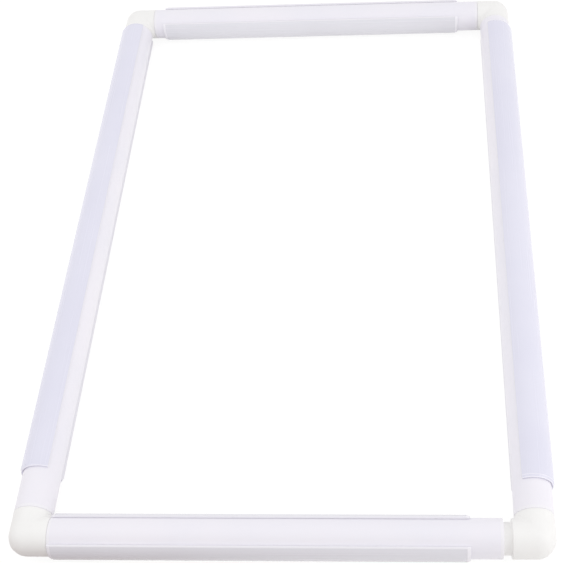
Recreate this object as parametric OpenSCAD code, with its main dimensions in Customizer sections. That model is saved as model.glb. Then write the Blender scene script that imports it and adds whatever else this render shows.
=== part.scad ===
// Rectangular embroidery frame: four tubes, four plug-in elbows and four spring clamps.
// The frame lies flat on its clamps. Origin: middle of the footprint, on the table. Y is the long way.

/* [Frame] */
// Distance between the axes of the left and right tubes
frame_w = 259; // [140:0.5:500]
// Distance between the axes of the front and back tubes
frame_l = 411.5; // [140:0.5:500]

/* [Tubes] */
// Outer diameter of a tube
tube_d = 20.4; // [18:0.1:26]
// Wall thickness of a tube
tube_wall = 1.9; // [1.5:0.1:2.5]
// Bevel on the cut ends of a tube
tube_bevel = 0.8; // [0.3:0.1:1.2]
// Seam between a tube's end and the shoulder that it is pushed up to
seam = 0.3; // [0.1:0.05:0.6]
// How far the front tube stands off the right elbow, where the neck shows
front_gap = 4.4; // [0.3:0.1:8]

/* [Elbows] */
// From an elbow's corner, where its two axes meet, to either shoulder
arm = 12; // [11.5:0.5:18]
// Length of a spigot, from its shoulder to its tip
spigot_len = 20; // [15:1:30]
// Radial clearance of a spigot in a tube
spigot_slack = 0.05; // [0.01:0.01:0.1]
// Wall of a spigot round its moulded core
spigot_wall = 2.4; // [1.5:0.1:3]
// Bevel on a spigot's tip
tip_bevel = 1.2; // [0.5:0.1:1.6]
// Bevel on a shoulder's rim
shoulder_bevel = 0.5; // [0.2:0.1:0.8]

/* [Clamps] */
// Wall thickness of a clamp
clamp_wall = 1.45; // [1.2:0.05:2]
// Radial clearance of a clamp on a tube with no cloth under it
clamp_slack = 0.05; // [0.01:0.01:0.1]
// Angle that the mouth of a clamp leaves open
mouth = 88; // [70:1:120]
// How much shorter the front and back clamps are than the run between two elbows
end_clamp_play = 21; // [12:0.5:40]
// How much shorter the left and right clamps are than the run between two elbows
side_clamp_play = 23.5; // [12:0.5:40]
// Length of the taper at a clamp's ends
taper_len = 1.8; // [0.5:0.1:3]
// Depth of the taper at a clamp's ends
taper_depth = 1; // [0.3:0.1:1.1]

/* [Clamps as they lie] */
// Turn of the left clamp's mouth from straight up towards the middle of the frame
left_turn = 75; // [-80:1:80]
// Turn of the right clamp's mouth towards the middle
right_turn = 75; // [-80:1:80]
// Turn of the front clamp's mouth towards the middle
front_turn = -4; // [-80:1:80]
// Turn of the back clamp's mouth towards the middle
back_turn = 6; // [-80:1:80]
// Place of the left clamp along its tube, from the tube's middle towards the back
left_shift = 11.45; // [-11.45:0.05:11.45]
// Place of the right clamp along its tube, towards the back
right_shift = 5; // [-11.45:0.05:11.45]
// Place of the front clamp along its tube, towards the right
front_shift = -10.2; // [-10.2:0.1:10.2]
// Place of the back clamp along its tube, towards the right
back_shift = -3.7; // [-10.2:0.1:10.2]

/* [Hidden] */
$fn = 96;

tube_r = tube_d / 2;
bore_r = tube_r - tube_wall;
spigot_r = bore_r - spigot_slack;
core_r = spigot_r - spigot_wall;
clamp_in_r = tube_r + clamp_slack;
clamp_out_r = clamp_in_r + clamp_wall;
axis_z = clamp_out_r;
half_w = frame_w / 2;
half_l = frame_l / 2;
across_run = frame_w - 2 * arm;
along_run = frame_l - 2 * arm;
across_clamp_len = across_run - end_clamp_play;
along_clamp_len = along_run - side_clamp_play;

tube_color = [0.94, 0.93, 0.96];
elbow_color = [0.95, 0.95, 0.92];
clamp_color = [0.89, 0.89, 0.95];

// Past a face that a hole or a cut goes through
over = 1;
// How much slimmer the bend in an elbow's inner corner is than the arms that it lies in
bend_inset = 0.2;

// Lays a piece modelled along +Z along +X, with the piece's +X pointing straight up
module along_x() {
    rotate([0, 90, 0]) rotate([0, 0, 180]) children();
}

// Lays a piece modelled along +Z along +Y, with the piece's +X pointing straight up
module along_y() {
    rotate([-90, 0, 0]) rotate([0, 0, -90]) children();
}

// A round bar along +Z with both rims bevelled
module bevelled_bar(r, len, bevel) {
    rotate_extrude()
        polygon([[0, 0], [r - bevel, 0], [r, bevel], [r, len - bevel], [r - bevel, len], [0, len]]);
}

// A tube along +Z from z = 0, bored right through
module tube(len) {
    difference() {
        bevelled_bar(tube_r, len, tube_bevel);
        translate([0, 0, -over]) cylinder(r = bore_r, h = len + 2 * over);
    }
}

// One arm of an elbow along +Z from the corner, with its shoulder's rim bevelled
module elbow_arm() {
    cylinder(r = tube_r, h = arm - shoulder_bevel);
    translate([0, 0, arm - shoulder_bevel])
        cylinder(r1 = tube_r, r2 = tube_r - shoulder_bevel, h = shoulder_bevel);
}

// The spigot of one arm, from inside the corner to its bevelled tip
module spigot() {
    translate([0, 0, tube_r / 2]) cylinder(r = spigot_r, h = arm - tube_r / 2 + spigot_len - tip_bevel);
    translate([0, 0, arm + spigot_len - tip_bevel])
        cylinder(r1 = spigot_r, r2 = spigot_r - tip_bevel, h = tip_bevel);
}

// The moulded core of one spigot, open at the tip and blind at the shoulder
module spigot_core() {
    translate([0, 0, arm]) cylinder(r = core_r, h = spigot_len + over);
}

// An elbow with its corner at the origin and its arms along +X and +Y
module elbow() {
    difference() {
        union() {
            sphere(r = tube_r);
            along_x() elbow_arm();
            along_y() elbow_arm();
            along_x() spigot();
            along_y() spigot();
            translate([arm, arm, 0]) rotate([0, 0, 180]) inner_bend();
        }
        along_x() spigot_core();
        along_y() spigot_core();
    }
}

// The swept bend that rounds the inner corner off
module inner_bend() {
    rotate_extrude(angle = 90) translate([arm, 0]) circle(r = tube_r - bend_inset);
}

// A clamp along +Z from z = 0, with its mouth open towards +X
module clamp(len) {
    reach = 3 * clamp_out_r;
    difference() {
        rotate_extrude()
            polygon([[clamp_in_r, 0], [clamp_out_r - taper_depth, 0], [clamp_out_r, taper_len],
                     [clamp_out_r, len - taper_len], [clamp_out_r - taper_depth, len], [clamp_in_r, len]]);
        translate([0, 0, -over]) linear_extrude(height = len + 2 * over)
            polygon([[0, 0], [reach * cos(mouth / 2), -reach * sin(mouth / 2)],
                     [reach * cos(mouth / 2), reach * sin(mouth / 2)]]);
    }
}

// A clamp whose mouth is turned by turn degrees about its own axis
module turned_clamp(len, turn) {
    rotate([0, 0, turn]) clamp(len);
}

module front_left_elbow() {
    color(elbow_color) translate([-half_w, -half_l, axis_z]) elbow();
}

module front_right_elbow() {
    color(elbow_color) translate([half_w, -half_l, axis_z]) rotate([0, 0, 90]) elbow();
}

module back_right_elbow() {
    color(elbow_color) translate([half_w, half_l, axis_z]) rotate([0, 0, 180]) elbow();
}

module back_left_elbow() {
    color(elbow_color) translate([-half_w, half_l, axis_z]) rotate([0, 0, 270]) elbow();
}

module front_tube() {
    color(tube_color) translate([-across_run / 2 + seam, -half_l, axis_z])
        along_x() tube(across_run - seam - front_gap);
}

module back_tube() {
    color(tube_color) translate([-across_run / 2 + seam, half_l, axis_z])
        along_x() tube(across_run - 2 * seam);
}

module left_tube() {
    color(tube_color) translate([-half_w, -along_run / 2 + seam, axis_z])
        along_y() tube(along_run - 2 * seam);
}

module right_tube() {
    color(tube_color) translate([half_w, -along_run / 2 + seam, axis_z])
        along_y() tube(along_run - 2 * seam);
}

module front_clamp() {
    color(clamp_color) translate([front_shift - across_clamp_len / 2, -half_l, axis_z])
        along_x() turned_clamp(across_clamp_len, front_turn);
}

module back_clamp() {
    color(clamp_color) translate([back_shift - across_clamp_len / 2, half_l, axis_z])
        along_x() turned_clamp(across_clamp_len, -back_turn);
}

module left_clamp() {
    color(clamp_color) translate([-half_w, left_shift - along_clamp_len / 2, axis_z])
        along_y() turned_clamp(along_clamp_len, left_turn);
}

module right_clamp() {
    color(clamp_color) translate([half_w, right_shift - along_clamp_len / 2, axis_z])
        along_y() turned_clamp(along_clamp_len, -right_turn);
}

front_left_elbow();
front_right_elbow();
back_left_elbow();
back_right_elbow();
front_tube();
back_tube();
left_tube();
right_tube();
front_clamp();
back_clamp();
left_clamp();
right_clamp();
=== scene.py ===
"""Looks of a rectangular embroidery frame: four tubes, four plug-in elbows and four spring clamps.

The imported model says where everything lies. Each piece is modelled again here, in the same place and at the
same size, with the rounded rims, seams and plastics of the real one, and stands for its node. Sizes in the
classes are millimetres, and meshes are in metres.
"""

from __future__ import annotations

import logging
import math
from dataclasses import dataclass, field
from enum import Enum
from typing import Callable

import bmesh
import bpy
from mathutils import Matrix, Vector


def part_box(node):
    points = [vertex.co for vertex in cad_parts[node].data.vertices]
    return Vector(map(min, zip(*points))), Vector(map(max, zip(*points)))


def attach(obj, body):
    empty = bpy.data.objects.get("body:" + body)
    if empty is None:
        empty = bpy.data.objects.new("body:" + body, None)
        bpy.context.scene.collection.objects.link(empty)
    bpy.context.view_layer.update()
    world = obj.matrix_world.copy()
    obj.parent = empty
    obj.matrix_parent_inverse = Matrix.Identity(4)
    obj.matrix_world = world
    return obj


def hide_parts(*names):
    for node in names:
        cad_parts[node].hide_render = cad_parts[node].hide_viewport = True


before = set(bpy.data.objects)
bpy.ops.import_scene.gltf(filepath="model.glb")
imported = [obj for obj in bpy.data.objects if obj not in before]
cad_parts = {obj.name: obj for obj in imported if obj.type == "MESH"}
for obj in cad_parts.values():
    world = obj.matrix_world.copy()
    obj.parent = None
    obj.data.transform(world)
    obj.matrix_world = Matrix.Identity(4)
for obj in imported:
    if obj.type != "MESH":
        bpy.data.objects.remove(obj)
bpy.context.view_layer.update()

LOG = logging.getLogger("embroidery_frame")
MM = 0.001
NEAR = 1e-6
UP = Vector((0, 0, 1))
FULL_TURN = 2 * math.pi


class Side(Enum):
    """A side of the frame: the way its bar runs, and the way from it to the middle of the frame."""

    FRONT = ((1, 0, 0), (0, 1, 0))
    BACK = ((1, 0, 0), (0, -1, 0))
    LEFT = ((0, 1, 0), (1, 0, 0))
    RIGHT = ((0, 1, 0), (-1, 0, 0))

    @property
    def run(self) -> Vector:
        """The way the bar runs."""
        return Vector(self.value[0])

    @property
    def inside(self) -> Vector:
        """The way from the bar to the middle of the frame."""
        return Vector(self.value[1])

    @property
    def word(self) -> str:
        """The side's name as the nodes have it."""
        return self.name.lower()


class Part(Enum):
    """What an operator works on, in the order of Blender's three selection modes."""

    VERT = "verts"
    EDGE = "edges"
    FACE = "faces"


def in_plane(corners: list[Vector], way: Vector, place: float) -> bool:
    """Says whether all corners lie in the plane across a direction, at a place along it."""
    return all(abs(corner.dot(way) - place) < NEAR for corner in corners)


class Workpiece:
    """A mesh on the bench: a primitive that edit-mode operators shape."""

    def __init__(self, name: str) -> None:
        """Takes the primitive that was just added and opens it for shaping.

        Args:
            name: The finished piece's name.
        """
        self.piece = bpy.context.object
        self.piece.name = name
        self.piece.data.name = name
        bpy.ops.object.transform_apply(location=True, rotation=True, scale=True)
        bpy.ops.object.mode_set(mode="EDIT")
        bpy.ops.mesh.select_all(action="DESELECT")

    def pick(self, part: Part, passes: Callable[[list[Vector]], bool] = lambda corners: True) -> None:
        """Selects the parts whose corners pass a test, and nothing else.

        Args:
            part: Vertices, edges or faces.
            passes: Given the corners of one part, says whether it is wanted. Without it, all are.
        """
        bpy.context.tool_settings.mesh_select_mode = [part is p for p in Part]
        bpy.ops.mesh.select_all(action="DESELECT")
        cage = bmesh.from_edit_mesh(self.piece.data)
        for element in getattr(cage, part.value):
            corners = [element.co] if part is Part.VERT else [v.co for v in element.verts]
            if passes(corners):
                element.select_set(True)
        cage.select_flush_mode()
        bmesh.update_edit_mesh(self.piece.data)

    def extrude(self, move: Vector) -> None:
        """Extrudes the selected edges along a vector."""
        bpy.ops.mesh.extrude_edges_move(TRANSFORM_OT_translate={"value": move})

    def sweep(self, centre: Vector, axis: Vector, angle: float, steps: int) -> None:
        """Spins what is selected round an axis, by the right-hand rule.

        Args:
            centre: A point on the axis.
            axis: The axis.
            angle: The turn in radians. The operator counts it the other way, hence the minus.
            steps: Number of steps in the turn.
        """
        bpy.ops.mesh.spin(steps=steps, angle=-angle, center=centre, axis=axis)

    def cut(self, place: Vector, normal: Vector, clear_outer: bool = False) -> None:
        """Cuts every face along a plane.

        Args:
            place: A point in the plane.
            normal: The plane's normal.
            clear_outer: Whether what lies past the plane is taken away.
        """
        bpy.ops.mesh.select_all(action="SELECT")
        bpy.ops.mesh.bisect(plane_co=place, plane_no=normal, clear_outer=clear_outer)

    def weld(self) -> None:
        """Merges doubled vertices and points every face outwards."""
        bpy.ops.mesh.select_all(action="SELECT")
        bpy.ops.mesh.remove_doubles(threshold=NEAR)
        bpy.ops.mesh.normals_make_consistent(inside=False)
        bpy.ops.mesh.select_all(action="DESELECT")

    def round_off(self, radius: float, segments: int, part: Part) -> None:
        """Rounds the selected corners or edges.

        Args:
            radius: How far back the rounding reaches, in metres.
            segments: Number of facets in it.
            part: Vertices for a section's corners, and edges for a solid's.
        """
        affect = "VERTICES" if part is Part.VERT else "EDGES"
        bpy.ops.mesh.bevel(offset=radius, segments=segments, affect=affect, clamp_overlap=False)

    def close(self, crisp_deg: float) -> bpy.types.Object:
        """Leaves edit mode and smooths the shading, with the large faces ruling the normals.

        Args:
            crisp_deg: Edges sharper than this many degrees stay crisp.

        Returns:
            The finished mesh object, at the origin.
        """
        bpy.ops.object.mode_set(mode="OBJECT")
        bpy.ops.object.shade_smooth_by_angle(angle=math.radians(crisp_deg))
        weights = self.piece.modifiers.new("weights", "WEIGHTED_NORMAL")
        weights.keep_sharp = True
        bpy.ops.object.modifier_apply(modifier=weights.name)
        return self.piece


def linear(code: str) -> tuple[float, float, float, float]:
    """Turns an sRGB hex colour into the linear one that a shader takes.

    Args:
        code: Six hex digits after a number sign.

    Returns:
        Linear red, green and blue, and an alpha of 1.
    """
    srgb = [int(code[i:i + 2], 16) / 255 for i in (1, 3, 5)]
    red, green, blue = (c / 12.92 if c <= 0.04045 else ((c + 0.055) / 1.055) ** 2.4 for c in srgb)
    return red, green, blue, 1.0


def add_node(tree: bpy.types.NodeTree, kind: str, inputs: dict | None = None,
             **settings: object) -> bpy.types.Node:
    """Adds a node with its settings, and fills or links its inputs.

    Args:
        tree: The node tree.
        kind: The node's type.
        inputs: Value or output socket for each input, by name or number.
        settings: The node's own properties.

    Returns:
        The node.
    """
    node = tree.nodes.new(kind)
    for name, value in settings.items():
        setattr(node, name, value)
    for name, value in (inputs or {}).items():
        if isinstance(value, bpy.types.NodeSocket):
            tree.links.new(value, node.inputs[name])
        else:
            node.inputs[name].default_value = value
    return node


def blank_material(name: str) -> bpy.types.Material:
    """Makes a material whose node tree is empty."""
    material = bpy.data.materials.new(name)
    material.use_nodes = True
    material.node_tree.nodes.clear()
    return material


@dataclass(frozen=True, kw_only=True)
class RigidPVC:
    """Rigid PVC, which all the pieces are made of. How it was worked gives it its tone, gloss and relief."""

    name: str
    colour: str
    roughness: float
    # How much smoother and how much rougher than that it is in places
    smoother: float
    rougher: float
    # Height of the surface's relief, and how strongly it shows
    relief: float
    relief_strength: float = 0.5
    ior: float = 1.53
    # The middle stretch of a noise, over which the tone and the gloss change all the way
    tone_span: tuple[float, float] = (0.35, 0.65)
    gloss_span: tuple[float, float] = (0.3, 0.7)

    def cloud(self, tree: bpy.types.NodeTree, noise: bpy.types.Node, other: str) -> bpy.types.NodeSocket:
        """Clouds the colour with a second one.

        Args:
            tree: The material's node tree.
            noise: The noise that says where the second colour lies.
            other: The second colour.

        Returns:
            The output that gives the clouded colour.
        """
        low, high = self.tone_span
        tone = add_node(tree, "ShaderNodeMapRange",
                        {"Value": noise.outputs["Fac"], "From Min": low, "From Max": high})
        mix = add_node(tree, "ShaderNodeMix",
                       {"Factor": tone.outputs[0], "A": linear(self.colour), "B": linear(other)},
                       data_type="RGBA")
        return mix.outputs["Result"]

    def coat(self, tree: bpy.types.NodeTree, colour: bpy.types.NodeSocket | tuple[float, ...],
             sheen: bpy.types.Node, relief: bpy.types.Node) -> None:
        """Adds the shader and the output.

        Args:
            tree: The material's node tree.
            colour: The base colour, or the output that gives it.
            sheen: The texture that the gloss changes with.
            relief: The texture that gives the relief's height.
        """
        low, high = self.gloss_span
        gloss = add_node(tree, "ShaderNodeMapRange",
                         {"Value": sheen.outputs["Fac"], "From Min": low, "From Max": high,
                          "To Min": self.roughness - self.smoother, "To Max": self.roughness + self.rougher})
        bump = add_node(tree, "ShaderNodeBump",
                        {"Height": relief.outputs["Fac"], "Strength": self.relief_strength,
                         "Distance": self.relief * MM})
        shader = add_node(tree, "ShaderNodeBsdfPrincipled",
                          {"Base Color": colour, "Roughness": gloss.outputs[0], "IOR": self.ior,
                           "Normal": bump.outputs[0]})
        add_node(tree, "ShaderNodeOutputMaterial", {"Surface": shader.outputs[0]})


@dataclass(frozen=True, kw_only=True)
class DrawnPVC(RigidPVC):
    """Rigid PVC drawn through a die: satin and slightly milky, with faint straight lines along the bar."""

    milk: str
    roughness: float = 0.34
    smoother: float = 0.04
    rougher: float = 0.05
    relief: float = 0.012
    # Between two die lines: 1.2 mm, coarser than the real ones, which are too fine to show
    line_gap: float = 1.2
    # How much longer a die line is than it is wide
    line_stretch: float = 90
    # Size of the soft milky patches
    patch: float = 42

    def make(self, side: Side) -> bpy.types.Material:
        """Makes the material for a bar.

        Args:
            side: The side of the frame that the bar is on, which says which way the lines run.

        Returns:
            The material.
        """
        material = blank_material(f"{self.name}_{side.word}")
        tree = material.node_tree
        place = add_node(tree, "ShaderNodeTexCoord").outputs["Object"]
        shrink = [1 / self.line_stretch if along else 1 for along in side.run]
        drawn = add_node(tree, "ShaderNodeMapping", {"Vector": place, "Scale": shrink})
        lines = add_node(tree, "ShaderNodeTexNoise",
                         {"Vector": drawn.outputs[0], "Scale": 1 / (self.line_gap * MM), "Detail": 2.0})
        patches = add_node(tree, "ShaderNodeTexNoise",
                           {"Vector": place, "Scale": 1 / (self.patch * MM), "Detail": 3.0})
        self.coat(tree, self.cloud(tree, patches, self.milk), lines, lines)
        return material


@dataclass(frozen=True, kw_only=True)
class TrimmedPVC(RigidPVC):
    """PVC that was cut and deburred: matt and whitened, with the fine marks of the tool."""

    roughness: float = 0.55
    smoother: float = 0.08
    rougher: float = 0.08
    relief: float = 0.03
    relief_strength: float = 0.4
    # Between two tool marks
    mark_gap: float = 0.5
    # About what a wave texture whose scale is 1 measures from band to band, in metres
    wave_gap: float = 0.3
    # A slit's marks run along the bar, and those of a sawn end run round it
    is_slit: bool = False

    def make(self, side: Side) -> bpy.types.Material:
        """Makes the material for the cuts of a bar.

        Args:
            side: The side of the frame that the bar is on, which says which way the marks run.

        Returns:
            The material.
        """
        material = blank_material(f"{self.name}_{side.word}")
        tree = material.node_tree
        place = add_node(tree, "ShaderNodeTexCoord").outputs["Object"]
        gap = self.mark_gap * MM
        marks = add_node(tree, "ShaderNodeTexWave",
                         {"Vector": place, "Scale": self.wave_gap / gap, "Distortion": 1.5, "Detail": 1.0},
                         bands_direction="Z" if self.is_slit else "X" if side.run.x else "Y")
        grit = add_node(tree, "ShaderNodeTexNoise", {"Vector": place, "Scale": 1 / gap})
        self.coat(tree, linear(self.colour), grit, marks)
        return material


@dataclass(frozen=True, kw_only=True)
class MouldedPVC(RigidPVC):
    """PVC moulded in a fine spark-worn mould: ivory and matt, a little whiter where it cooled last."""

    pale: str
    roughness: float = 0.46
    smoother: float = 0.05
    rougher: float = 0.05
    relief: float = 0.015
    # Grain of the mould's skin: 0.7 mm, coarser than the real one, which is too fine to show
    grain: float = 0.7
    # Size of the cloudy flow marks
    flow: float = 14

    def make(self) -> bpy.types.Material:
        """Makes the material."""
        material = blank_material(self.name)
        tree = material.node_tree
        place = add_node(tree, "ShaderNodeTexCoord").outputs["Object"]
        skin = add_node(tree, "ShaderNodeTexNoise",
                        {"Vector": place, "Scale": 1 / (self.grain * MM), "Detail": 3.0})
        flow = add_node(tree, "ShaderNodeTexNoise",
                        {"Vector": place, "Scale": 1 / (self.flow * MM), "Detail": 2.0, "Distortion": 0.8})
        self.coat(tree, self.cloud(tree, flow, self.pale), flow, skin)
        return material


# The tubes are the palest, satin with a trace of lilac
TUBE_PVC = DrawnPVC(name="tube_pvc", colour="#F2EFF6", milk="#EFEDF5")
# The clamps are glossier, a clear lilac at the sides and greyer at the ends of the frame
SIDE_CLAMP_PVC = DrawnPVC(name="side_clamp_pvc", colour="#E2E1F0", milk="#E5E4F2", roughness=0.24)
END_CLAMP_PVC = DrawnPVC(name="end_clamp_pvc", colour="#E6E5EC", milk="#E4E3EA", roughness=0.24)
# Sawn and deburred rims show as a thin line, whiter and duller than the wall beside it. On the right clamp
# the side trim also draws a painted highlight where the taper begins
TRIMMED_TUBE = TrimmedPVC(name="trimmed_tube_pvc", colour="#F3F1F6")
TRIMMED_AND_HIGHLIT_SIDE = TrimmedPVC(name="trimmed_side_pvc", colour="#F2F0F9")
TRIMMED_END = TrimmedPVC(name="trimmed_end_pvc", colour="#F5F3F9")
# The clamps' lips, slit along their length, are dull. Their paler tone is partly a painted highlight along
# the lips' rounding, and their lack of the wall's lilac is partly painted shade
SLIT_HIGHLIGHT_SIDE = TrimmedPVC(name="slit_side_pvc", colour="#E8E7EC", is_slit=True)
SLIT_HIGHLIGHT_END = TrimmedPVC(name="slit_highlight_end_pvc", colour="#EDEBF1", is_slit=True)
# The elbows are a warmer white than all the rest
ELBOW_PVC = MouldedPVC(name="elbow_pvc", colour="#F3F2F1", pale="#F5F4F3")


def hand_over(piece: bpy.types.Object, node: str) -> None:
    """Puts a finished piece in the place of its node, on its node's body.

    Args:
        piece: The finished piece.
        node: The node that it stands for, whose body has the same name.
    """
    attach(piece, node)
    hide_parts(node)
    LOG.info("%s: %d faces, in place of %s", piece.name, len(piece.data.polygons), node)


@dataclass
class BarShell:
    """A round wall along one side of the frame, made by sweeping its cut section round the bar's axis."""

    side: Side
    # The material slot, and the last word of the node's name
    slot: str
    # Radius and thickness of the wall
    outer: float
    wall: float
    # Rounding of the wall's outer and inner rims
    outer_rim: float
    inner_rim: float
    # The stretch at either end that a rim or a taper takes up
    band: float
    # Stretches that were cut and deburred, as distances from either end
    trimmed: tuple[tuple[float, float], ...]
    # Facets in a full turn, and in a rim's rounding
    steps: int = 96
    rim_steps: int = 3
    # Edges sharper than this many degrees stay crisp
    crisp_deg: float = 38
    axis: Vector = field(init=False)
    ends: tuple[float, float] = field(init=False)

    def __post_init__(self) -> None:
        """Reads the bar's axis and the wall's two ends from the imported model."""
        low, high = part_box(f"{self.side.word}_tube")
        self.axis = (low + high) / 2
        low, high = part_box(self.node)
        self.ends = (self.along(low), self.along(high))

    @property
    def node(self) -> str:
        """The node that the piece stands for."""
        return f"{self.side.word}_{self.slot}"

    @property
    def middle(self) -> float:
        """The radius half way through the wall, in metres."""
        return (self.outer - self.wall / 2) * MM

    def along(self, point: Vector) -> float:
        """How far along the bar a point lies."""
        return point.dot(self.side.run)

    def reach(self, point: Vector) -> float:
        """How far a point lies from the bar's axis."""
        offset = point - self.axis
        return (offset - self.side.run * self.along(offset)).length

    def is_end(self, point: Vector) -> bool:
        """Says whether a point lies in the plane of one of the two ends."""
        return min(abs(self.along(point) - end) for end in self.ends) < NEAR

    def is_trimmed(self, point: Vector) -> bool:
        """Says whether a point of the wall lies in a trimmed stretch."""
        place = self.along(point)
        depth = min(place - self.ends[0], self.ends[1] - place) / MM
        return any(start < depth < end for start, end in self.trimmed)

    def section(self, toward: Vector) -> Workpiece:
        """Lays the wall's cut section beside the axis, with its corners still square.

        Args:
            toward: The way from the axis to the section.

        Returns:
            The section, open for shaping.
        """
        run, (low, high), band = self.side.run, self.ends, self.band * MM
        centre = self.axis + run * ((low + high) / 2 - self.along(self.axis))
        turn = Matrix((run, toward, run.cross(toward))).transposed().to_euler()
        bpy.ops.object.select_all(action="DESELECT")
        bpy.ops.mesh.primitive_plane_add(size=1, location=centre + toward * self.middle, rotation=turn)
        bpy.context.object.scale = (high - low - 2 * band, self.wall * MM, 1)
        work = Workpiece(f"drawn_{self.node}")
        for end, way in ((low + band, -1), (high - band, 1)):
            work.pick(Part.EDGE, lambda corners: in_plane(corners, run, end))
            work.extrude(run * way * band)
        return work

    def round_rims(self, work: Workpiece, split: float) -> None:
        """Rounds the section's corners at both ends.

        Args:
            work: The section.
            split: The radius that parts the outer corners from the inner ones, in metres.
        """
        for radius, outside in ((self.outer_rim, True), (self.inner_rim, False)):
            work.pick(Part.VERT, lambda corners: self.is_end(corners[0])
                      and (self.reach(corners[0]) > split) is outside)
            work.round_off(radius * MM, self.rim_steps, Part.VERT)

    def score(self, work: Workpiece) -> None:
        """Cuts the faces along the lines inside the end bands where the finish changes.

        Args:
            work: The swept wall.
        """
        run, (low, high) = self.side.run, self.ends
        for depth in sorted({d for stretch in self.trimmed for d in stretch if 0 < d < self.band}):
            for place in (low + depth * MM, high - depth * MM):
                work.cut(run * place, run)

    def dress(self, piece: bpy.types.Object, wall: DrawnPVC, ends: TrimmedPVC) -> None:
        """Gives the piece the finishes of its wall and its ends.

        Args:
            piece: The finished mesh.
            wall: The finish of the drawn wall.
            ends: The finish of the trimmed stretches at its ends.
        """
        piece.data.materials.append(wall.make(self.side))
        piece.data.materials.append(ends.make(self.side))
        # The wall has material slot 0, and its ends have slot 1
        for face in piece.data.polygons:
            face.material_index = int(self.is_trimmed(face.center))


@dataclass
class Tube(BarShell):
    """A drawn tube, open right through, with deburred rims."""

    slot: str = "tube"
    outer: float = 10.2
    wall: float = 1.9
    outer_rim: float = 0.45
    inner_rim: float = 0.3
    band: float = 1.6
    trimmed: tuple[tuple[float, float], ...] = ((0, 1.6),)
    # How far an end reaches into its seam, which is all but closed where the tube is pushed home
    seat: float = 0.25

    def __post_init__(self) -> None:
        """Reads the tube's place and pushes its ends home, but for the one at the front right's bare neck."""
        super().__post_init__()
        low, high = self.ends
        right_seat = 0 if self.side is Side.FRONT else self.seat
        self.ends = (low - self.seat * MM, high + right_seat * MM)

    def build(self) -> None:
        """Models the tube, dresses it and hands it over."""
        work = self.section(UP)
        self.round_rims(work, self.middle)
        # Only the section's outline is swept, so that no face is left inside the wall
        work.pick(Part.FACE)
        bpy.ops.mesh.dissolve_faces()
        work.pick(Part.FACE)
        bpy.ops.mesh.delete(type="ONLY_FACE")
        work.pick(Part.EDGE)
        work.sweep(self.axis, self.side.run, FULL_TURN, self.steps)
        work.weld()
        piece = work.close(self.crisp_deg)
        self.dress(piece, TUBE_PVC, TRIMMED_TUBE)
        hand_over(piece, self.node)


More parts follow.
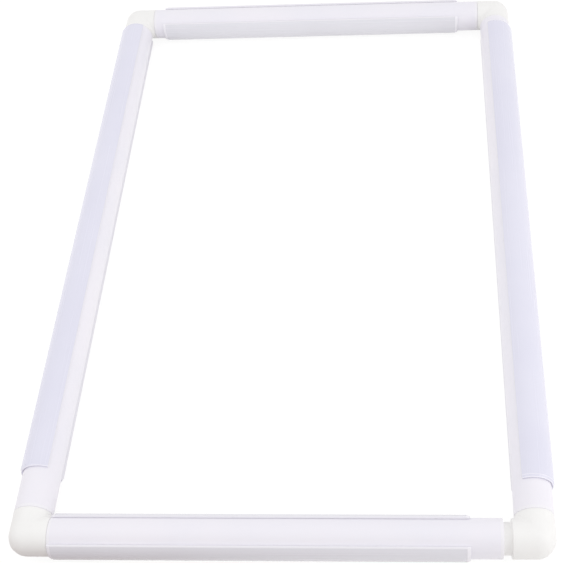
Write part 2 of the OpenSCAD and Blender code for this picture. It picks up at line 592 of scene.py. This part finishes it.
@dataclass
class Clamp(BarShell):
    """An open C drawn in springy PVC and pressed over a tube, with rounded lips and tapered ends."""

    slot: str = "clamp"
    outer: float = 11.7
    wall: float = 1.45
    outer_rim: float = 0.15
    inner_rim: float = 0.55
    band: float = 1.8
    trimmed: tuple[tuple[float, float], ...] = ((0, 1.8),)
    taper_depth: float = 0.7
    # Turn of the mouth from straight up towards the middle of the frame, in degrees
    turn: float = 0
    # Angle that the mouth leaves open, in degrees
    mouth: float = 88
    # Rounding of the outer and inner edge of the lip towards the middle of the frame, and of the other one
    outer_lips: tuple[float, float] = (0.5, 0.4)
    inner_lips: tuple[float, float] = (0.15, 0.1)
    # Facets in a lip's rounding
    lip_steps: int = 5
    finish: DrawnPVC = SIDE_CLAMP_PVC
    trim: TrimmedPVC = TRIMMED_AND_HIGHLIT_SIDE
    # The lips' finish, whose paler tone is partly a painted highlight
    slit: TrimmedPVC = SLIT_HIGHLIGHT_SIDE

    @property
    def spin_axis(self) -> Vector:
        """The axis round which a turn goes from straight up towards the middle of the frame."""
        return UP.cross(self.side.inside)

    @property
    def lip_depths(self) -> tuple[float, ...]:
        """The angle that the rounding of each lip takes up, in radians."""
        return tuple(max(radii) * MM / self.middle for radii in zip(self.outer_lips, self.inner_lips))

    def is_trimmed(self, point: Vector) -> bool:
        """Says whether a point lies in a trimmed stretch of the outside, where the tool reaches."""
        return super().is_trimmed(point) and self.reach(point) > self.middle

    def toward(self, angle: float) -> Vector:
        """Gives a direction from the axis, at an angle from straight up towards the middle of the frame."""
        return UP * math.cos(angle) + self.side.inside * math.sin(angle)

    def build(self) -> None:
        """Models the clamp, dresses it and hands it over."""
        half = math.radians(self.mouth / 2)
        start = math.radians(self.turn) + half + self.lip_depths[0]
        span = FULL_TURN - 2 * half - sum(self.lip_depths)
        work = self.section(self.toward(start))
        self.taper(work, self.toward(start))
        self.round_rims(work, self.middle - self.taper_depth * MM / 2)
        work.pick(Part.FACE)
        work.sweep(self.axis, self.spin_axis, span, round(self.steps * span / FULL_TURN))
        # The sweep leaves its far cut selected, and the near one is picked after that
        self.draw_lip(work, 1, start + span)
        self.pick_cut(work, start)
        self.draw_lip(work, 0, start)
        self.score(work)
        work.weld()
        piece = work.close(self.crisp_deg)
        self.dress(piece, self.finish, self.trim)
        self.dress_lips(piece)
        hand_over(piece, self.node)

    def taper(self, work: Workpiece, toward: Vector) -> None:
        """Draws the section's outer corners in at both ends.

        Args:
            work: The section.
            toward: The way from the axis to the section.
        """
        work.pick(Part.VERT, lambda corners: self.is_end(corners[0]) and self.reach(corners[0]) > self.middle)
        bpy.ops.transform.translate(value=-toward * self.taper_depth * MM)

    def pick_cut(self, work: Workpiece, angle: float) -> None:
        """Selects the faces of the cut that stands at an angle from straight up."""
        toward, across = self.toward(angle), self.toward(angle + math.pi / 2)
        work.pick(Part.FACE, lambda corners: in_plane(corners, across, self.axis.dot(across))
                  and all((corner - self.axis).dot(toward) > 0 for corner in corners))

    def draw_lip(self, work: Workpiece, lip: int, angle: float) -> None:
        """Draws the selected cut out to the mouth, and narrows it step by step, which rounds the lip.

        Args:
            work: The clamp.
            lip: 0 for the lip towards the middle of the frame, and 1 for the other one.
            angle: Where the cut stands, from straight up towards the middle of the frame, in radians.
        """
        way = 1 if lip else -1
        rounds = (self.inner_lips[lip], self.outer_lips[lip])
        low, high, turned = self.outer - self.wall, self.outer, 0.0
        for step in range(1, self.lip_steps + 1):
            part = math.sin(math.pi / 2 * step / self.lip_steps)
            turn = way * part * self.lip_depths[lip]
            work.sweep(self.axis, self.spin_axis, turn - turned, 1)
            cuts = [self.cut_in(radius, max(rounds) * (1 - part)) for radius in rounds]
            next_low, next_high = self.outer - self.wall + cuts[0], self.outer - cuts[1]
            shrink = (next_high - next_low) / (high - low)
            centre = (next_high - shrink * high) / (1 - shrink)
            bpy.ops.transform.resize(value=[1 if along else shrink for along in self.side.run],
                                     center_override=self.axis + self.toward(angle + turn) * centre * MM)
            low, high, turned = next_low, next_high, turn

    @staticmethod
    def cut_in(radius: float, left: float) -> float:
        """Says how far a rounding cuts in, at a distance from the face that it runs out on."""
        return radius - math.sqrt(radius ** 2 - (radius - left) ** 2) if left < radius else 0.0

    def is_on_lip(self, point: Vector) -> bool:
        """Says whether a point of the wall lies on the rounded stretch of a lip or on its face."""
        offset = point - self.axis
        turn = math.atan2(offset.dot(self.side.inside), offset.z) - math.radians(self.turn)
        turn = (turn + math.pi) % FULL_TURN - math.pi
        return abs(turn) < math.radians(self.mouth / 2) + self.lip_depths[0 if turn > 0 else 1]

    def dress_lips(self, piece: bpy.types.Object) -> None:
        """Gives the lips the finish of a slit, paler as a painted highlight, between the trimmed ends."""
        lip_slot = len(piece.data.materials)
        piece.data.materials.append(self.slit.make(self.side))
        for face in piece.data.polygons:
            if not face.material_index and self.is_on_lip(face.center):
                face.material_index = lip_slot


@dataclass
class Elbow:
    """A moulded corner: two short arms with a ball outside, a fillet inside and a hollow spigot on each."""

    # The four corners: node, and quarter turns from the front left one
    corners: tuple[tuple[str, int], ...] = (("front_left_elbow", 0), ("front_right_elbow", 1),
                                            ("back_right_elbow", 2), ("back_left_elbow", 3))
    arm: float = 12
    spigot_len: float = 20
    spigot_radius: float = 8.25
    core_radius: float = 5.85
    core_rim: float = 0.3
    shoulder_rim: float = 0.35
    root_fillet: float = 0.4
    # Facets' ends in the rounding of a shoulder's rim and of a spigot's root, in degrees
    rim_turns_deg: tuple[float, ...] = (30, 60, 90)
    tip_bevel: float = 1.2
    # Points of the softened bevel, in bevels back from the tip and in from the spigot's side
    tip_line: tuple[tuple[float, float], ...] = ((1.25, 0), (0.8, 0.1), (0, 1))
    inner_fillet: float = 1.25
    fillet_steps: int = 8
    # Share of the radius up to which the inner corner is rounded, short of the crown, where it is flat
    fillet_rise: float = 0.97
    # The raised line where the mould's halves meet
    seam_width: float = 0.5
    seam_height: float = 0.12
    seam_steps: int = 2
    sides: int = 64
    crisp_deg: float = 50
    # The way of the arm that is modelled, in the frame where the elbow is cut in half along the Y = 0 plane
    slant: Vector = field(default_factory=lambda: Vector((math.sqrt(0.5), -math.sqrt(0.5), 0)))

    @property
    def radius(self) -> float:
        """The arms' outer radius in metres, from a node's own box."""
        low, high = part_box(self.corners[0][0])
        return (high.z - low.z) / 2

    @property
    def other_slant(self) -> Vector:
        """The way of the other arm, in the same frame."""
        return Vector((self.slant.x, -self.slant.y, 0))

    def profile(self) -> list[tuple[float, float]]:
        """Lists the lathe line of one arm past its straight part.

        Returns:
            Distance from the corner and radius of each ring in metres, from the shoulder to the core's floor.
        """
        rim, root, tip = self.shoulder_rim * MM, self.root_fillet * MM, self.tip_bevel * MM
        arm, outer, spigot = self.arm * MM, self.radius, self.spigot_radius * MM
        core, mouth, end = self.core_radius * MM, self.core_rim * MM, (self.arm + self.spigot_len) * MM
        turns = [math.radians(a) for a in self.rim_turns_deg]
        line = [(arm - rim + rim * math.sin(t), outer - rim + rim * math.cos(t)) for t in turns]
        line += [(arm + root * (1 - math.cos(t)), spigot + root * (1 - math.sin(t))) for t in [0, *turns]]
        line += [(end - tip * back, spigot - tip * inward) for back, inward in self.tip_line]
        line += [(end, core + mouth), (end - mouth, core), (arm, core)]
        return line

    def half(self) -> Workpiece:
        """Models one arm with its spigot, up to the plane that halves the elbow.

        Returns:
            The half, open for shaping.
        """
        straight = (self.arm - self.shoulder_rim) * MM
        bpy.ops.object.select_all(action="DESELECT")
        bpy.ops.mesh.primitive_cylinder_add(
            vertices=self.sides, radius=self.radius, depth=straight, end_fill_type="NOTHING",
            location=self.slant * straight / 2, rotation=(0, math.pi / 2, -math.pi / 4))
        work = Workpiece("elbow_pattern")
        work.pick(Part.EDGE, lambda corners: in_plane(corners, self.slant, straight))
        place, radius = straight, self.radius
        for next_place, next_radius in self.profile():
            work.extrude(self.slant * (next_place - place))
            shrink = next_radius / radius
            bpy.ops.transform.resize(value=(shrink, shrink, shrink), center_override=self.slant * next_place)
            place, radius = next_place, next_radius
        bpy.ops.mesh.edge_face_add()
        work.cut(Vector(), Vector((0, 1, 0)), clear_outer=True)
        # The arm's open end is swept down to that plane, which makes half of the ball
        work.pick(Part.EDGE, lambda corners: in_plane(corners, self.slant, 0))
        work.sweep(Vector(), UP, -math.pi / 4, self.sides // 8)
        return work

    def pattern(self) -> bpy.types.Object:
        """Models the whole elbow at the origin, with its arms to the right and left of the X axis.

        Returns:
            The pattern that the four elbows are copied from.
        """
        work = self.half()
        bpy.ops.object.mode_set(mode="OBJECT")
        mirror = work.piece.modifiers.new("other_arm", "MIRROR")
        mirror.use_axis = (False, True, False)
        mirror.merge_threshold = NEAR
        bpy.ops.object.modifier_apply(modifier=mirror.name)
        bpy.ops.object.mode_set(mode="EDIT")
        work.weld()
        top = self.fillet_rise * self.radius
        work.pick(Part.EDGE, lambda corners: all(
            abs(c.y) < NEAR and c.x > NEAR and abs(c.z) < top for c in corners))
        work.round_off(self.inner_fillet * MM, self.fillet_steps, Part.EDGE)
        self.raise_seam(work)
        return work.close(self.crisp_deg)

    def is_on_skin(self, point: Vector) -> bool:
        """Says whether a point in the parting plane lies on the elbow's outside, short of its shoulders."""
        reach = max(point.dot(self.slant), point.dot(self.other_slant))
        return abs(point.z) < NEAR and reach < (self.arm - self.shoulder_rim) * MM + NEAR

    def raise_seam(self, work: Workpiece) -> None:
        """Raises the mould's parting line round the outside.

        Args:
            work: The elbow.
        """
        work.pick(Part.EDGE, lambda corners: all(self.is_on_skin(c) for c in corners))
        work.round_off(self.seam_width / 2 * MM, self.seam_steps, Part.EDGE)
        work.pick(Part.VERT, lambda corners: self.is_on_skin(corners[0]))
        bpy.ops.transform.shrink_fatten(value=self.seam_height * MM)

    def build(self) -> None:
        """Copies the pattern to the four corners, dresses the copies and hands them over."""
        pattern = self.pattern()
        material = ELBOW_PVC.make()
        reach = (self.arm + self.spigot_len) * MM
        for node, quarters in self.corners:
            low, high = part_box(node)
            # The pattern lies half of a quarter turn off, with its diagonal along the X axis
            turn = Matrix.Rotation(math.radians(45 + 90 * quarters), 4, "Z")
            lean = (turn @ self.slant + turn @ self.other_slant) / 2
            corner = (low + high) / 2 - lean * (reach - self.radius)
            piece = pattern.copy()
            piece.data = pattern.data.copy()
            piece.name = piece.data.name = f"moulded_{node}"
            bpy.context.scene.collection.objects.link(piece)
            piece.data.transform(Matrix.Translation(corner) @ turn)
            piece.data.materials.append(material)
            hand_over(piece, node)
        bpy.data.objects.remove(pattern)


@dataclass(frozen=True)
class Softbox:
    """A square soft lamp that faces the middle of the frame, placed and sized in metres, with its watts."""

    name: str
    place: tuple[float, float, float]
    size: float
    power: float

    def hang(self) -> None:
        """Adds the lamp."""
        bpy.ops.object.light_add(type="AREA", location=self.place)
        lamp = bpy.context.object
        lamp.name = self.name
        lamp.data.size = self.size
        lamp.data.energy = self.power
        lamp.rotation_euler = Vector(self.place).to_track_quat("Z", "Y").to_euler()


@dataclass
class Studio:
    """The plain pale floor, the soft light and the camera of the photograph."""

    floor_size: float = 6.0
    # Light from all round, where 1 shows a colour as it is written
    ambient: float = 0.885
    # How it grows to the right, and to both sides
    slope: tuple[float, float, float] = (0.05, 0.0, 0.0)
    flank: tuple[float, float, float] = (0.12, 0.0, 0.0)
    # The background that the camera sees
    sky_white: float = 1.0
    # Share of the floor's own shade that the camera sees, the rest being plain white
    floor_shade: float = 0.2
    floor_white: float = 1.1
    # The floor's bounce: pale paper under the frame, which gives way to painted shade, a dark brown at the
    # front left that the camera doesn't see
    paper: str = "#F4F3F1"
    table: str = "#7E5F59"
    shade_way: tuple[float, float, float] = (0.27, 1.0, 0.0)
    paper_edge: tuple[float, float] = (-0.262, -0.222)
    softboxes: tuple[Softbox, ...] = (Softbox("left_softbox", (-0.75, -0.15, 0.5), 0.45, 0.6),
                                      Softbox("right_softbox", (0.75, -0.35, 0.4), 0.45, 0.9))
    # Camera fitted to the outlines of the four bars
    camera_place: tuple[float, float, float] = (0.0702, -0.4682, 0.5476)
    camera_turn_deg: tuple[float, float, float] = (38.959, 3.492, 2.027)
    lens: float = 73.66
    sensor: float = 36
    shift: tuple[float, float] = (-0.0931, -0.0094)
    # Nearest distance that the camera sees, in metres
    near: float = 0.01

    @staticmethod
    def plain_rays(tree: bpy.types.NodeTree) -> bpy.types.NodeSocket:
        """Gives 1 for the rays that see the plain background, from the camera or by way of gloss or glass.

        Args:
            tree: The node tree to add to.

        Returns:
            The output that says so.
        """
        path = add_node(tree, "ShaderNodeLightPath").outputs
        shiny = add_node(tree, "ShaderNodeMath", {0: path["Is Glossy Ray"], 1: path["Is Transmission Ray"]},
                         operation="MAXIMUM")
        return add_node(tree, "ShaderNodeMath", {0: path["Is Camera Ray"], 1: shiny.outputs[0]},
                        operation="MAXIMUM").outputs[0]

    def lay_floor(self) -> None:
        """Lays the floor: white to the camera, with a soft shadow, and pale to everything else, except for
        painted shade, a dark brown, at the front left.
        """
        bpy.ops.object.select_all(action="DESELECT")
        bpy.ops.mesh.primitive_plane_add(size=self.floor_size)
        floor = bpy.context.object
        floor.name = "paper_floor"
        material = blank_material("white_paper")
        tree = material.node_tree
        place = add_node(tree, "ShaderNodeTexCoord").outputs["Object"]
        # Painted shade: the floor's bounce darkens to a brown towards the front left
        front = add_node(tree, "ShaderNodeVectorMath", {0: place, 1: self.shade_way}, operation="DOT_PRODUCT")
        fade = add_node(tree, "ShaderNodeMapRange",
                        {"Value": front.outputs["Value"], "From Min": self.paper_edge[0],
                         "From Max": self.paper_edge[1]}, interpolation_type="SMOOTHSTEP")
        seen = self.plain_rays(tree)
        clean = add_node(tree, "ShaderNodeMath", {0: fade.outputs[0], 1: seen}, operation="MAXIMUM")
        tone = add_node(tree, "ShaderNodeMix",
                        {"Factor": clean.outputs[0], "A": linear(self.table), "B": linear(self.paper)},
                        data_type="RGBA")
        paper = add_node(tree, "ShaderNodeBsdfDiffuse", {"Color": tone.outputs["Result"]})
        white = add_node(tree, "ShaderNodeEmission", {"Color": (1, 1, 1, 1), "Strength": self.floor_white})
        plain = add_node(tree, "ShaderNodeMath", {0: seen, 1: 1 - self.floor_shade}, operation="MULTIPLY")
        mix = add_node(tree, "ShaderNodeMixShader",
                       {0: plain.outputs[0], 1: paper.outputs[0], 2: white.outputs[0]})
        add_node(tree, "ShaderNodeOutputMaterial", {"Surface": mix.outputs[0]})
        floor.data.materials.append(material)

    def light(self) -> None:
        """Lights the frame from all round, a little more from the sides, and hangs the softboxes."""
        world = bpy.data.worlds.new("studio")
        bpy.context.scene.world = world
        world.use_nodes = True
        tree = world.node_tree
        tree.nodes.clear()
        way = add_node(tree, "ShaderNodeTexCoord").outputs["Generated"]
        square = add_node(tree, "ShaderNodeVectorMath", {0: way, 1: way}, operation="MULTIPLY").outputs[0]
        soft = self.ambient
        for ways, growth in ((way, self.slope), (square, self.flank)):
            more = add_node(tree, "ShaderNodeVectorMath", {0: ways, 1: growth}, operation="DOT_PRODUCT")
            soft = add_node(tree, "ShaderNodeMath", {0: more.outputs["Value"], 1: soft},
                            operation="ADD").outputs[0]
        level = add_node(tree, "ShaderNodeMix",
                         {"Factor": self.plain_rays(tree), "A": soft, "B": self.sky_white})
        sky = add_node(tree, "ShaderNodeBackground",
                       {"Color": (1, 1, 1, 1), "Strength": level.outputs["Result"]})
        add_node(tree, "ShaderNodeOutputWorld", {"Surface": sky.outputs[0]})
        for softbox in self.softboxes:
            softbox.hang()

    def set_camera(self) -> None:
        """Sets the camera that the photograph was taken with, for its square frame."""
        data = bpy.data.cameras.new("photo_camera")
        camera = bpy.data.objects.new("photo_camera", data)
        bpy.context.scene.collection.objects.link(camera)
        camera.location = self.camera_place
        camera.rotation_euler = [math.radians(a) for a in self.camera_turn_deg]
        data.sensor_width = self.sensor
        data.lens = self.lens
        data.shift_x, data.shift_y = self.shift
        data.clip_start = self.near
        bpy.context.scene.camera = camera
        bpy.context.scene.view_settings.view_transform = "Standard"

    def build(self) -> None:
        """Sets the whole stage."""
        self.lay_floor()
        self.light()
        self.set_camera()


def press_on_clamps() -> None:
    """Builds the four clamps, each turned and trimmed as the real one."""
    ends = {"finish": END_CLAMP_PVC, "trim": TRIMMED_END, "slit": SLIT_HIGHLIGHT_END}
    Clamp(Side.FRONT, turn=-4, outer_lips=(0.5, 0.9), inner_lips=(0.42, 0.1), **ends).build()
    Clamp(Side.BACK, turn=6, outer_lips=(0.9, 0.5), inner_lips=(0.1, 0.3), **ends).build()
    # The side clamps are whitened at their very ends alone. The right one also has a pale line where its
    # taper begins, which is whitening together with a painted highlight from the light on the right
    Clamp(Side.LEFT, turn=75, trimmed=((0, 0.5),)).build()
    Clamp(Side.RIGHT, turn=75, trimmed=((0, 0.5), (1.55, 1.8))).build()


def main() -> None:
    """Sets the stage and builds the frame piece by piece."""
    logging.basicConfig(level=logging.INFO, format="%(name)s: %(message)s")
    Studio().build()
    Elbow().build()
    for side in Side:
        Tube(side).build()
    press_on_clamps()


if __name__ == "__main__":
    main()
